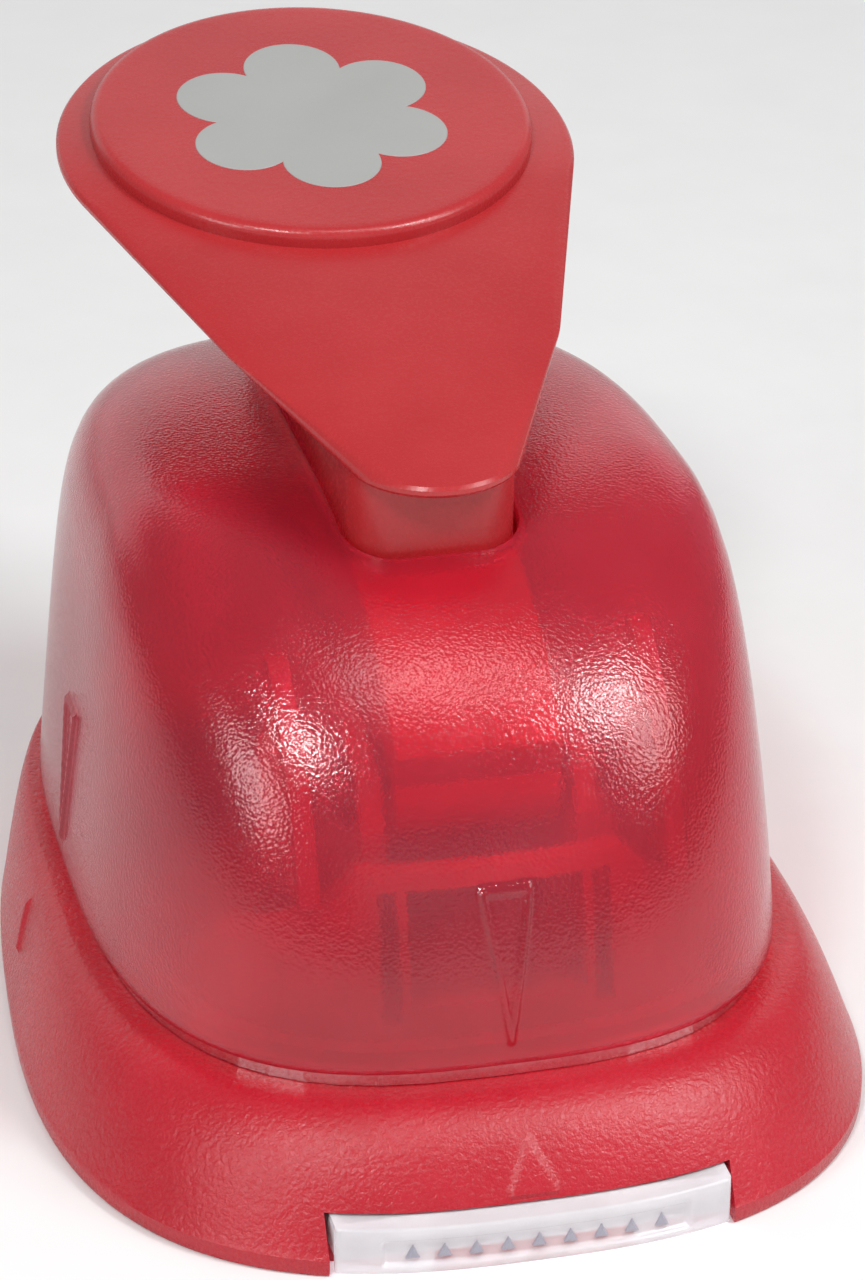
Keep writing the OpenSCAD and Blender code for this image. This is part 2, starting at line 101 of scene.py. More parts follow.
def superellipse(v, half, power):
    return half * np.sign(v) * np.abs(v) ** (2 / power)


def outline(a, half_w, front_d, back_d, power, taper):
    s = np.sin(a)
    y = superellipse(s, np.where(s < 0, front_d, back_d), power)
    return np.stack([superellipse(np.cos(a), half_w, power) * (1 - taper * y / front_d), y], 1)


def skirt_plan(a, inset):
    return outline(a, BASE_HALF_W - inset, BASE_FRONT_D - inset, BASE_BACK_D - inset,
                   BASE_POWER, BASE_TAPER)


def rim_plan(a, inset):
    return outline(a, DOME_HALF_W - inset, DOME_FRONT_D - inset, DOME_BACK_D - inset,
                   DOME_POWER, DOME_TAPER)


def shrink(t, draft, roundness):
    return (1 - draft * t) * (1 - t ** roundness) ** (1 / roundness)


def dome_halves(t, inset):
    return ((DOME_HALF_W - inset) * shrink(t, DRAFT_SIDE, ROUND_SIDE),
            (DOME_FRONT_D - inset) * shrink(t, DRAFT_FRONT, ROUND_FRONT),
            (DOME_BACK_D - inset) * shrink(t, DRAFT_BACK, ROUND_BACK))


def dome_ring(a, t, inset):
    w, f, b = dome_halves(t, inset)
    return at_height(outline(a, w, f, b, DOME_POWER, DOME_TAPER), RIM_Z + (DOME_H - inset) * t)


def dome_height(xy, inset):
    """Height of the crown over points in plan, found by halving the level's range."""
    low = np.zeros(len(xy))
    high = np.full(len(xy), 0.99995)
    for _ in range(34):
        t = (low + high) / 2
        w, f, b = dome_halves(t, inset)
        depth = np.where(xy[:, 1] < 0, f, b)
        inside = (np.abs(xy[:, 0]) / (w * (1 - DOME_TAPER * xy[:, 1] / f))) ** DOME_POWER \
            + (np.abs(xy[:, 1]) / depth) ** DOME_POWER < 1
        low = np.where(inside, t, low)
        high = np.where(inside, high, t)
    return RIM_Z + (DOME_H - inset) * low


def at_height(xy, z):
    return np.column_stack([xy, np.broadcast_to(z, len(xy))])


def even_angles(plan, count, extra):
    """Outline angles spaced evenly along the outline, closer together round its marks."""
    a = np.linspace(0, 2 * math.pi, 24001)
    p = plan(a)
    mid = (p[1:] + p[:-1]) / 2
    step = np.hypot(*np.diff(p, axis=0).T)
    near_front = np.exp(-(mid[:, 0] / MARK_ZONE) ** 8) * (mid[:, 1] < 0)
    near_side = np.exp(-(mid[:, 1] / MARK_ZONE) ** 8)
    length = np.concatenate([[0], np.cumsum(step * (1 + extra * (near_front + near_side)))])
    return np.interp(np.arange(count) / count * length[-1], length, a)


def triangle_distance(u, v, tip, root, half_w):
    """Distance to the outline of an upright triangle, positive inside it."""
    corners = np.array([(0, tip), (-half_w, root), (half_w, root)])
    best = np.full(len(u), 1e9)
    p = np.stack([u, v], 1)
    signs = []
    for i in range(3):
        c, d = corners[i], corners[(i + 1) % 3]
        e = d - c
        s = np.clip(((p - c) @ e) / (e @ e), 0, 1)
        best = np.minimum(best, np.hypot(*(p - c - s[:, None] * e).T))
        signs.append(np.sign(e[0] * (p[:, 1] - c[1]) - e[1] * (p[:, 0] - c[0])))
    inside = (np.abs(np.sum(signs, 0)) > 2.5)
    return np.where(inside, best, -best)


def ease(v):
    v = np.clip(v, 0, 1)
    return v * v * (3 - 2 * v)


def marks(ring, tip, root, half_w, profile):
    """Pushes a ring's points outwards where an arrow stands on the front or on a side."""
    out = ring.copy()
    x, y, z = ring.T
    for u, sel, axis, sign in ((x, y < -20, 1, -1), (y, x > 20, 0, 1), (y, x < -20, 0, -1)):
        h = profile(triangle_distance(u, z, tip, root, half_w)) * sel
        out[:, axis] += sign * h
    return out


def solid_mark(d):
    return MARK_H * ease((d + 0.15) / 0.45)


def outlined_mark(d):
    return MARK_LINE_H * np.exp(-(d / MARK_LINE_W) ** 2) + MARK_FACE_H * ease(d / 0.4)


# ---------------------------------------------------------------- mesh helpers

def new_object(name, verts, faces, angle=35):
    mesh = bpy.data.meshes.new(name)
    points = (np.asarray(verts, float) * MM).tolist()
    mesh.from_pydata(points, [], [list(map(int, f)) for f in faces])
    mesh.update()
    obj = bpy.data.objects.new(name, mesh)
    bpy.context.scene.collection.objects.link(obj)
    bm = bmesh.new()
    bm.from_mesh(mesh)
    bmesh.ops.recalc_face_normals(bm, faces=bm.faces)
    bm.to_mesh(mesh)
    bm.free()
    smooth(obj, angle)
    return obj


def smooth(obj, angle):
    obj.data.shade_smooth()
    obj.data.set_sharp_from_angle(angle=math.radians(angle))


def loft(name, rings, wrap=False, angle=35):
    """Skin through rings with the same number of points; closed by end faces, or end to end."""
    n, m = len(rings[0]), len(rings)
    faces = []
    for j in range(m if wrap else m - 1):
        k = (j + 1) % m
        for i in range(n):
            faces.append((j * n + i, j * n + (i + 1) % n, k * n + (i + 1) % n, k * n + i))
    if not wrap:
        faces.append(range(n))
        faces.append(range((m - 1) * n, m * n))
    return new_object(name, np.vstack(rings), faces, angle)


def box(name, low, high):
    x0, y0, z0 = low
    x1, y1, z1 = high
    return loft(name, [np.array([(x0, y0, z), (x1, y0, z), (x1, y1, z), (x0, y1, z)])
                       for z in (z0, z1)])


def apply(obj):
    """Bakes an object's modifiers into its mesh."""
    graph = bpy.context.evaluated_depsgraph_get()
    mesh = bpy.data.meshes.new_from_object(obj.evaluated_get(graph))
    obj.modifiers.clear()
    obj.data = mesh
    return obj


def cut(obj, tool, how="DIFFERENCE"):
    mod = obj.modifiers.new("cut", "BOOLEAN")
    mod.operation = how
    mod.object = tool
    mod.solver = "EXACT"
    apply(obj)
    bpy.data.objects.remove(tool)
    return obj


def bevel(obj, width, segments=3, angle=35):
    mod = obj.modifiers.new("bevel", "BEVEL")
    mod.width = width * MM
    mod.segments = segments
    mod.limit_method = "ANGLE"
    mod.angle_limit = math.radians(angle)
    mod.harden_normals = False
    apply(obj)
    smooth(obj, 38)
    return obj


def join(objects):
    """One object with the meshes of all of them, under the first one's name."""
    first = objects[0]
    bm = bmesh.new()
    for o in objects:
        bm.from_mesh(o.data)
    bm.to_mesh(first.data)
    bm.free()
    for o in objects[1:]:
        bpy.data.objects.remove(o)
    return first


def in_second_material(objects):
    for obj in objects:
        for face in obj.data.polygons:
            face.material_index = 1
    return objects


def prism_x(name, profile, half_w, x=0.0):
    """A profile in Y and Z, extruded across X."""
    pts = np.asarray(profile, float)
    return loft(name, [np.column_stack([np.full(len(pts), x + s * half_w), pts]) for s in (-1, 1)])


def lathe(name, profile, count=128):
    """A profile of radius and height turned round Z; it starts and ends on the axis."""
    a = np.linspace(0, 2 * math.pi, count, endpoint=False)
    rings = [np.column_stack([r * np.cos(a), r * np.sin(a), np.full(count, z)]) for r, z in profile]
    return loft(name, rings, angle=50)


def rod_x(name, y, z, r, half_len, edge=0.4, count=64):
    """A rod along X with chamfered ends."""
    a = np.linspace(0, 2 * math.pi, count, endpoint=False)
    ends = ((-half_len, r - edge), (-half_len + edge, r),
            (half_len - edge, r), (half_len, r - edge))
    rings = [np.column_stack([np.full(count, x), y + radius * np.cos(a), z + radius * np.sin(a)])
             for x, radius in ends]
    return loft(name, rings)


def ring_points(r, h, edge, count=120, steps=6):
    """Points of a disc with a rounded edge that ends at height h."""
    a = np.linspace(0, 2 * math.pi, count, endpoint=False)
    pts = []
    for b in np.linspace(-math.pi / 2, math.pi / 2, steps):
        radius = r - edge + edge * math.cos(b)
        z = h - edge + edge * math.sin(b)
        pts.append(np.column_stack([radius * np.cos(a), radius * np.sin(a), np.full(count, z)]))
    return np.vstack(pts)


def tilted(pts, y, z, tilt):
    """Points leaned back by an angle and moved to y and z."""
    c, s = math.cos(tilt), math.sin(tilt)
    x, v, w = pts.T
    return np.column_stack([x, y + v * c - w * s, z + v * s + w * c])


def on_pad(obj):
    """Moves an object made round the origin to the thumb pad's middle and tilt."""
    middle = Matrix.Translation(Vector((0, PAD_Y, PAD_Z)) * MM)
    obj.data.transform(middle @ Matrix.Rotation(PAD_TILT, 4, "X"))
    return obj


def hull(name, pts, angle=30):
    """The convex solid round a set of points."""
    bm = bmesh.new()
    for p in pts:
        bm.verts.new(Vector(p) * MM)
    result = bmesh.ops.convex_hull(bm, input=bm.verts)
    inner = result["geom_interior"] + result["geom_unused"]
    spare = {e for e in inner if isinstance(e, bmesh.types.BMVert)}
    bmesh.ops.delete(bm, geom=list(spare), context="VERTS")
    bmesh.ops.recalc_face_normals(bm, faces=bm.faces)
    mesh = bpy.data.meshes.new(name)
    bm.to_mesh(mesh)
    bm.free()
    obj = bpy.data.objects.new(name, mesh)
    bpy.context.scene.collection.objects.link(obj)
    smooth(obj, angle)
    return obj


# ---------------------------------------------------------------- materials

class Nodes:
    """A material's node tree with short ways to make the usual nodes."""

    def __init__(self, name):
        self.material = bpy.data.materials.new(name)
        self.material.use_nodes = True
        self.tree = self.material.node_tree
        self.tree.nodes.clear()
        self.out = self.add("ShaderNodeOutputMaterial")
        self.coords = self.add("ShaderNodeTexCoord").outputs["Object"]

    def add(self, kind, **values):
        node = self.tree.nodes.new(kind)
        for key, value in values.items():
            setattr(node, key, value)
        return node

    def link(self, a, b):
        self.tree.links.new(a, b)

    def noise(self, scale, detail=3.0, rough=0.55, stretch=None):
        node = self.add("ShaderNodeTexNoise")
        node.inputs["Scale"].default_value = scale
        node.inputs["Detail"].default_value = detail
        node.inputs["Roughness"].default_value = rough
        if stretch:
            mapping = self.add("ShaderNodeMapping")
            mapping.inputs["Scale"].default_value = stretch
            self.link(self.coords, mapping.inputs["Vector"])
            self.link(mapping.outputs["Vector"], node.inputs["Vector"])
        else:
            self.link(self.coords, node.inputs["Vector"])
        return node.outputs["Fac"]

    def cells(self, scale, feature="SMOOTH_F1"):
        node = self.add("ShaderNodeTexVoronoi", feature=feature)
        node.inputs["Scale"].default_value = scale
        self.link(self.coords, node.inputs["Vector"])
        return node.outputs["Distance"]

    def ramp(self, value, stops):
        node = self.add("ShaderNodeValToRGB")
        ramp = node.color_ramp
        while len(ramp.elements) < len(stops):
            ramp.elements.new(0.5)
        for element, (position, colour) in zip(ramp.elements, stops):
            element.position = position
            element.color = (*colour, 1)
        self.link(value, node.inputs["Fac"])
        return node.outputs["Color"]

    def spread(self, value, low, high, start=0.3, end=0.7):
        node = self.add("ShaderNodeMapRange")
        node.inputs["From Min"].default_value = start
        node.inputs["From Max"].default_value = end
        node.inputs["To Min"].default_value = low
        node.inputs["To Max"].default_value = high
        self.link(value, node.inputs["Value"])
        return node.outputs["Result"]

    def blend(self, a, b, share):
        node = self.add("ShaderNodeMix", data_type="RGBA")
        for socket, value in ((node.inputs[6], a), (node.inputs[7], b)):
            if isinstance(value, tuple):
                socket.default_value = (*value, 1)
            else:
                self.link(value, socket)
        self.link(share, node.inputs[0])
        return node.outputs[2]

    def add_up(self, a, b, weight):
        node = self.add("ShaderNodeMath", operation="MULTIPLY_ADD")
        self.link(b, node.inputs[0])
        node.inputs[1].default_value = weight
        self.link(a, node.inputs[2])
        return node.outputs[0]

    def bump(self, height, distance, strength=1.0):
        node = self.add("ShaderNodeBump")
        node.inputs["Distance"].default_value = distance * MM
        node.inputs["Strength"].default_value = strength
        self.link(height, node.inputs["Height"])
        return node.outputs["Normal"]

    def principled(self, colour, rough, normal=None, **values):
        node = self.add("ShaderNodeBsdfPrincipled")
        self.link(colour, node.inputs["Base Color"])
        self.link(rough, node.inputs["Roughness"])
        if normal is not None:
            self.link(normal, node.inputs["Normal"])
        for key, value in values.items():
            node.inputs[key.replace("_", " ")].default_value = value
        return node.outputs[0]

    def finish(self, shader):
        self.link(shader, self.out.inputs["Surface"])
        return self.material

    def lets_light_in(self, shader, tint):
        """Lets lamps shine through the surface with a tint, so that what is inside is lit."""
        shade = self.add("ShaderNodeBsdfTransparent")
        shade.inputs["Color"].default_value = (*tint, 1)
        by_ray = self.add("ShaderNodeMixShader")
        self.link(self.add("ShaderNodeLightPath").outputs["Is Shadow Ray"], by_ray.inputs["Fac"])
        self.link(shader, by_ray.inputs[1])
        self.link(shade.outputs[0], by_ray.inputs[2])
        return self.finish(by_ray.outputs[0])


def moulded_red(name, deep, mid, light, rough, grain, depth, glint_paint=0.0):
    """Opaque moulded plastic with a worm-like grain and, if asked, pale flecks: a painted glint,
    lighter specks in the colour that stand in for the sparkle of light on the grain.
    """
    m = Nodes(name)
    cloud = m.noise(45, 4)
    fine = m.noise(grain, 3, 0.6)
    worm = m.noise(grain * 0.6, 2, 0.5)
    colour = m.ramp(cloud, [(0.3, deep), (0.5, mid), (0.72, light)])
    # painted glint: specks of a paler copy of the light colour, where light would sparkle on the
    # grain
    if glint_paint:
        pale = tuple(min(1.0, c + glint_paint) for c in light)
        colour = m.blend(colour, pale, m.spread(fine, 0.0, 0.3, 0.6, 0.8))
    roughness = m.spread(fine, rough - 0.06, rough + 0.08)
    normal = m.bump(m.add_up(fine, worm, 0.8), depth)
    return m.finish(m.principled(colour, roughness, normal, Specular_IOR_Level=0.5))


def housing_skin(name, colours, clear):
    """Translucent plastic with a fine pebbled skin."""
    m = Nodes(name)
    cloud = m.noise(38, 3)
    pebble = m.cells(2900)
    fine = m.noise(5200, 2)
    colour = m.ramp(cloud, list(zip((0.3, 0.55, 0.75), colours)))
    roughness = m.spread(fine, 0.09, 0.16)
    normal = m.bump(m.add_up(pebble, fine, 0.35), 0.06, 0.8)
    surface = m.principled(colour, roughness, normal, Specular_IOR_Level=1.0,
                           Transmission_Weight=clear, IOR=1.45)
    return m.lets_light_in(surface, (0.65, 0.14, 0.18))


def milky_clear():
    m = Nodes("milky_clear_plastic")
    cloud = m.noise(120, 3)
    fine = m.noise(1500, 2)
    colour = m.ramp(cloud, [(0.3, (0.80, 0.78, 0.80)), (0.7, (0.88, 0.87, 0.88))])
    surface = m.principled(colour, m.spread(fine, 0.14, 0.26), m.bump(fine, 0.02),
                           Specular_IOR_Level=0.6, Transmission_Weight=0.5, IOR=1.4)
    return m.lets_light_in(surface, (0.9, 0.88, 0.9))


def metal(name, dark, light, rough, stretch, depth=0.01):
    """Bare metal, brushed along the axis that stretch makes small."""
    m = Nodes(name)
    brush = m.noise(900, 3, 0.6, stretch)
    cloud = m.noise(60, 3)
    colour = m.ramp(cloud, [(0.3, dark), (0.7, light)])
    roughness = m.spread(brush, rough * 0.75, rough * 1.3)
    return m.finish(m.principled(colour, roughness, m.bump(brush, depth), Metallic=1.0))


def plain(name, dark, light, rough, grain, depth):
    """A quiet surface with slight cloud and grain."""
    m = Nodes(name)
    fine = m.noise(grain, 3)
    return m.finish(m.principled(m.ramp(m.noise(70, 3), [(0.3, dark), (0.7, light)]),
                                 m.spread(fine, rough - 0.05, rough + 0.07), m.bump(fine, depth)))


MATERIALS = {
    # the base's last value sets its painted glint, pale specks mixed into the grain colour
    "base_red": moulded_red("grained_red_base", (0.41, 0.008, 0.019), (0.46, 0.011, 0.024),
        (0.51, 0.018, 0.034), 0.27, 2300, 0.11, 0.1),
    "cover_red": moulded_red("plain_red_cover", (0.34, 0.015, 0.028), (0.4, 0.02, 0.035),
        (0.45, 0.03, 0.05), 0.45, 1300, 0.03),
    "lever_red": moulded_red("satin_red_lever", (0.40, 0.020, 0.024), (0.43, 0.024, 0.028),
        (0.46, 0.03, 0.034), 0.25, 2100, 0.02),
    "frame_red": moulded_red("frame_red", (0.32, 0.02, 0.036), (0.38, 0.03, 0.05),
        (0.45, 0.045, 0.066), 0.35, 1400, 0.02),
    "housing_red": housing_skin("translucent_red_skin",
        [(0.66, 0.042, 0.085), (0.75, 0.056, 0.11), (0.83, 0.09, 0.15)], 0.80),
    "rib_red": housing_skin("translucent_red_ribs",
        [(0.50, 0.024, 0.06), (0.57, 0.032, 0.075), (0.63, 0.042, 0.09)], 0.4),
    "clear_plastic": milky_clear(),
    "nib_grey": plain("shaded_nibs", (0.32, 0.31, 0.37), (0.4, 0.38, 0.44), 0.35, 1500, 0.01),
    "grey_print": plain("grey_inlay", (0.355, 0.355, 0.345), (0.38, 0.38, 0.37), 0.5, 2600, 0.008),
    "roller_nylon": plain("nylon", (0.78, 0.76, 0.7), (0.86, 0.85, 0.8), 0.4, 1500, 0.01),
    "carriage_zinc": metal("cast_zinc", (0.42, 0.43, 0.45), (0.56, 0.57, 0.59), 0.42, (1, 1, 1),
        0.03),
    "cutter_steel": metal("ground_steel", (0.55, 0.56, 0.58), (0.66, 0.67, 0.69), 0.26,
        (1, 1, 0.05)),
    "die_steel": metal("die_steel", (0.46, 0.47, 0.49), (0.55, 0.56, 0.58), 0.3, (0.04, 1, 1)),
    "chromed_plate": metal("bright_plate", (0.72, 0.72, 0.74), (0.84, 0.84, 0.86), 0.2,
        (0.05, 1, 1), 0.004),
    "magnet": metal("nickel", (0.4, 0.4, 0.41), (0.5, 0.5, 0.51), 0.2, (1, 1, 1)),
    "screw_steel": metal("zinc_plated", (0.58, 0.58, 0.57), (0.7, 0.7, 0.69), 0.3, (1, 1, 1)),
    "pin_steel": metal("ground_rod", (0.62, 0.62, 0.64), (0.74, 0.74, 0.76), 0.2, (0.05, 1, 1)),
    "clip_steel": metal("blued_steel", (0.12, 0.12, 0.14), (0.2, 0.2, 0.23), 0.32, (1, 1, 1)),
    "spring_steel": metal("spring_wire", (0.5, 0.5, 0.52), (0.64, 0.64, 0.66), 0.26, (1, 1, 1)),
}


def place(obj, body, slot, *nodes, inner=None):
    """Gives a finished piece its material (and a second one, if asked), puts it on its body and
    hides the CAD nodes it stands for.
    """
    obj.data.materials.append(MATERIALS[slot])
    if inner:
        obj.data.materials.append(MATERIALS[inner])
    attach(obj, body)
    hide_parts(*nodes)
    return obj


# ---------------------------------------------------------------- base

def skirt_rings(a, inset, top, levels, mark=True):
    """Rings up the skirt, from its straight edge to just outside the housing's rim."""
    low, high = skirt_plan(a, inset), rim_plan(a, inset - DECK_LEDGE)
    rings = []
    for u in np.linspace(0, 1, levels + 1) ** 1.1:
        z = SKIRT_EDGE + (top - SKIRT_EDGE) * (1 - (1 - u) ** 2) ** (1 / SKIRT_POWER)
        ring = at_height(low * (1 - u) + high * u, z)
        rings.append(marks(ring, *BASE_MARK, solid_mark) if mark else ring)
    return rings


def base_shell():
    a = even_angles(lambda v: skirt_plan(v, 0), BASE_COLUMNS, MARK_COLUMNS)
    foot = [at_height(skirt_plan(a, inset), z) for inset, z in ((0.5, 0.0), (0.14, 0.14), (0, 0.5))]
    top = [at_height(rim_plan(a, inset - DECK_LEDGE), DECK_Z) for inset in (0.4, 1.0)]
    rings = foot + skirt_rings(a, 0, DECK_Z, SKIRT_LEVELS) + top
    shell = loft("base_body", rings, angle=30)
    b = even_angles(lambda v: skirt_plan(v, 0), 120, 0)
    cavity = loft("cavity", [at_height(skirt_plan(b, SKIRT_WALL), -1.0)]
                  + skirt_rings(b, SKIRT_WALL, DECK_UNDER, 10, False))
    cut(shell, cavity)
    cut(shell, box("notch", (-NOTCH_HALF_W, -BASE_FRONT_D - 1, -1),
                   (NOTCH_HALF_W, NOTCH_D - BASE_FRONT_D, NOTCH_H)))
    cut(shell, box("recess", (-DIE_HALF_W, -DIE_HALF_D, DIE_UNDER),
                   (DIE_HALF_W, DIE_HALF_D, DECK_Z + 1)))
    cut(shell, box("window", (-DIE_WINDOW_W, -DIE_WINDOW_D, DECK_UNDER - 1),
                   (DIE_WINDOW_W, DIE_WINDOW_D, DECK_Z)))
    smooth(shell, 30)
    return shell


place(base_shell(), "base", "base_red", "base_shell")


# ---------------------------------------------------------------- chip tray

def front_line(x):
    """Y of the base's front edge at x."""
    a = np.linspace(math.pi, 2 * math.pi, 4001)
    p = skirt_plan(a, 0)
    return np.interp(x, p[:, 0], p[:, 1])


def tray_lip():
    """The lip follows the base's front edge, with a shallow hollow and a shelf behind it."""
    edge = TRAY_HALF_W - 0.25
    across = np.concatenate([[-TRAY_HALF_W], np.linspace(-edge, edge, 180), [TRAY_HALF_W]])
    inside = TRAY_FRONT + 0.6
    shelf = TRAY_FRONT + LIP_SHELF_D
    rows = []
    for x in across:
        y = float(front_line(x))
        pull = 0.3 if abs(x) > TRAY_HALF_W - 0.2 else 0.0
        hollow = HOLLOW_D * float(ease((TRAY_HALF_W - HOLLOW_END - abs(x)) / 0.7))
        profile = [(pull + 0.3, LIP_LOW), (pull, LIP_LOW + 0.3), (pull, HOLLOW_LOW)]
        profile += [(pull + hollow * float(ease(k / 4)), HOLLOW_LOW + 0.14 * k)
                    for k in range(1, 5)]
        profile += [(pull + hollow * float(ease(k / 4)), HOLLOW_TOP - 0.14 * k)
                    for k in range(4, 0, -1)]
        profile += [(pull, HOLLOW_TOP), (pull, LIP_H - 0.35), (pull + 0.12, LIP_H - 0.1),
                    (pull + 0.4, LIP_H)]
        pts = [(x, y + d, z) for d, z in profile]
        pts += [(x, shelf, LIP_H), (x, shelf, LIP_H - LIP_SHELF_T),
                (x, inside, LIP_H - LIP_SHELF_T), (x, inside, LIP_LOW)]
        rows.append(np.array(pts))
    return loft("chip_drawer", rows, angle=45)


def tray_nibs():
    """A regular row of small triangular grip nibs along the lip's hollow."""
    middle = 2.7    # height that a nib's tip shrinks towards
    tri = np.array([(-NIB_HALF_W, NIB_LOW), (NIB_HALF_W, NIB_LOW), (0, NIB_TOP)])
    nibs = []
    for x in np.linspace(-NIB_SPAN, NIB_SPAN, NIB_COUNT):
        y = float(front_line(x)) + 0.8
        rings = [np.array([(x + u * s, y - d, middle + (z - middle) * s) for u, z in tri])
                 for d, s in ((0, 1), (0.35, 1), (0.55, 0.6))]
        nibs.append(loft("nib", rings))
    return in_second_material(nibs)


def tray_body():
    back = TRAY_FRONT + TRAY_D
    half = TRAY_HALF_W - TRAY_WALL
    body = box("tray_body", (-TRAY_HALF_W, TRAY_FRONT - 0.2, TRAY_FLOOR),
               (TRAY_HALF_W, back, TRAY_TOP))
    cut(body, box("tray_hollow", (-half, TRAY_FRONT + 1.0, TRAY_FLOOR + TRAY_WALL),
                  (half, back - TRAY_WALL, TRAY_TOP + 1)))
    return bevel(body, 0.25, 2)


place(join([tray_lip(), tray_body()] + tray_nibs()), "drawer", "clear_plastic", "chip_tray",
      inner="nib_grey")


# ---------------------------------------------------------------- housing

def slot_ray(direction, centre):
    """Where rays from the slot's middle meet its outline."""
    half = STEM_HALF_W + SLOT_GAP
    radius = STEM_CORNER + SLOT_GAP
    inner = STEM_HALF_W - STEM_CORNER
    turn = np.linspace(0, math.pi / 2, 16)
    corner = np.column_stack([inner + radius * np.sin(turn),
                              STEM_FRONT + STEM_CORNER - radius * np.cos(turn)])
    back = np.array([(half, SLOT_BACK - 0.8), (half - 0.25, SLOT_BACK - 0.25),
                     (half - 0.8, SLOT_BACK)])
    right = np.vstack([corner, back])
    path = np.vstack([right, (right * (-1, 1))[::-1]])
    path = np.vstack([path, path[:1]])
    hit = np.zeros((len(direction), 2))
    for i, d in enumerate(direction):
        best = None
        for p, q in zip(path[:-1], path[1:]):
            e = q - p
            det = d[0] * -e[1] + e[0] * d[1]
            if abs(det) < 1e-12:
                continue
            w = p - centre
            r = (w[0] * -e[1] + e[0] * w[1]) / det
            s = (d[0] * w[1] - d[1] * w[0]) / det
            if r > 0 and -1e-9 <= s <= 1 + 1e-9:
                best = r if best is None else max(best, r)
        hit[i] = centre + d * best
    return hit


def crown_rings(a, inset, t_top, slot_at, away, steps):
    """Rings over the crown from a level's outline in to the slot."""
    start = dome_ring(a, t_top, inset)[:, :2]
    end = slot_at + away * 0.5
    rings = []
    for w in np.linspace(0, 1, steps + 1)[1:]:
        xy = start * (1 - w) + end * w
        rings.append(at_height(xy, dome_height(xy, inset)))
    return rings


def housing_shell():
    """Walls ring by ring up to CROWN_T, then a crown that closes in on the slot."""
    a = even_angles(lambda v: rim_plan(v, 0), DOME_COLUMNS, MARK_COLUMNS)
    direction = dome_ring(a, CROWN_T, 0)[:, :2] - SLOT_MIDDLE
    direction /= np.hypot(*direction.T)[:, None]
    slot_at = slot_ray(direction, SLOT_MIDDLE)
    rings = [at_height(rim_plan(a, inset), RIM_Z + up)
             for inset, up in ((1.7, 0.0), (0.5, 0.0), (0.14, 0.14))]
    # rings are closer together low down, where the marks stand
    heights = np.concatenate([np.linspace(0.5, 21.5, 56),
                              np.linspace(22.3, CROWN_T * DOME_H, 20)])
    for h in heights:
        rings.append(marks(dome_ring(a, h / DOME_H, 0), *HOUSING_MARK, outlined_mark))
    rings += crown_rings(a, 0, CROWN_T, slot_at, direction, 26)
    outer_z = dome_height(slot_at, 0)
    inner_z = dome_height(slot_at, DOME_WALL)
    for away, drop in ((0.2, 0.1), (0.05, 0.28), (0.0, 0.5)):
        rings.append(at_height(slot_at + direction * away, outer_z - drop))
    rings.append(at_height(slot_at, inner_z + 0.3))
    rings += crown_rings(a, DOME_WALL, CROWN_T, slot_at, direction, 14)[::-1]
    for t in np.linspace(CROWN_T, 0.01, 26):
        rings.append(dome_ring(a, t, DOME_WALL))
    rings.append(at_height(rim_plan(a, 2.0), RIM_Z + 0.12))
    return loft("housing_dome", rings, wrap=True, angle=60)


def wall_y(x, z, inset):
    """Y of the front and the back wall's inner face at x and z."""
    t = np.clip((z - RIM_Z) / (DOME_H - inset), 0, 0.995)
    w, f, b = dome_halves(t, inset)
    share = np.clip(1 - (abs(x) / w) ** DOME_POWER, 0, 1) ** (1 / DOME_POWER)
    return -f * share, b * share


def ribs():
    """Upright ribs inside the walls and the screw bosses below them."""
    parts = []
    inset = DOME_WALL - RIB_IN_WALL
    for s in (-1, 1):
        x = s * FRONT_BOSS[0]
        front = [(min(float(wall_y(x, z, inset)[0]), -27.5), z)
                 for z in np.linspace(FRONT_RIB_LOW, FRONT_RIB_TOP, 18)]
        front += [(-26.5, FRONT_RIB_TOP), (-29.5, BOSS_Z + 16), (-32.5, FRONT_RIB_LOW)]
        x = s * BACK_BOSS[0]
        back = [(float(wall_y(x, z, inset)[1]), z)
                for z in np.linspace(BACK_RIB_LOW, BACK_RIB_TOP, 14)]
        back += [(BACK_BOSS[1], BACK_RIB_TOP), (BACK_BOSS[1], BACK_RIB_LOW)]
        for profile, at in ((front, FRONT_BOSS), (back, BACK_BOSS)):
            rib = prism_x("rib", profile, RIB_HALF_T, s * at[0])
            parts.append(bevel(rib, 0.25, 2))
        for (bx, by), top in ((FRONT_BOSS, FRONT_BOSS_TOP), (BACK_BOSS, BACK_BOSS_TOP)):
            # a plain round post with a small chamfer at its foot
            boss = lathe("boss", [(0.01, BOSS_Z), (BOSS_R - 0.3, BOSS_Z), (BOSS_R, BOSS_Z + 0.3),
                                  (BOSS_R, top), (0.01, top)], 40)
            boss.data.transform(Matrix.Translation(Vector((s * bx, by, 0)) * MM))
            parts.append(boss)
    return in_second_material(parts)


place(join([housing_shell()] + ribs()), "upper_unit", "housing_red", "housing_shell",
      inner="rib_red")


# ---------------------------------------------------------------- lever

def fan():
    """The handle's underside and edge: the hull of rounded discs from pad to nose and stem."""
    def pad_ring(r, h, edge):
        return tilted(ring_points(r, h, edge) - (0, FLANGE_SHIFT, 0), PAD_Y, PAD_Z, PAD_TILT)

    flange = pad_ring(PAD_R, FLANGE_TOP, 0.8)
    low = pad_ring(PAD_R - 1.2, FLANGE_LOW + 0.6, 0.5)
    waist = tilted(ring_points(WAIST[2], 0.2, 0.1, steps=2), WAIST[0], WAIST[1], PAD_TILT)
    nose = tilted(ring_points(NOSE[2], NOSE[3], NOSE[3] / 2), NOSE[0], NOSE[1], 0)
    foot = tilted(ring_points(STEM_HALF_W - 0.5, 2, 0.3, steps=2), *STEM_TOP, 0)
    return hull("lever", np.vstack([flange, low, waist, nose, foot]))


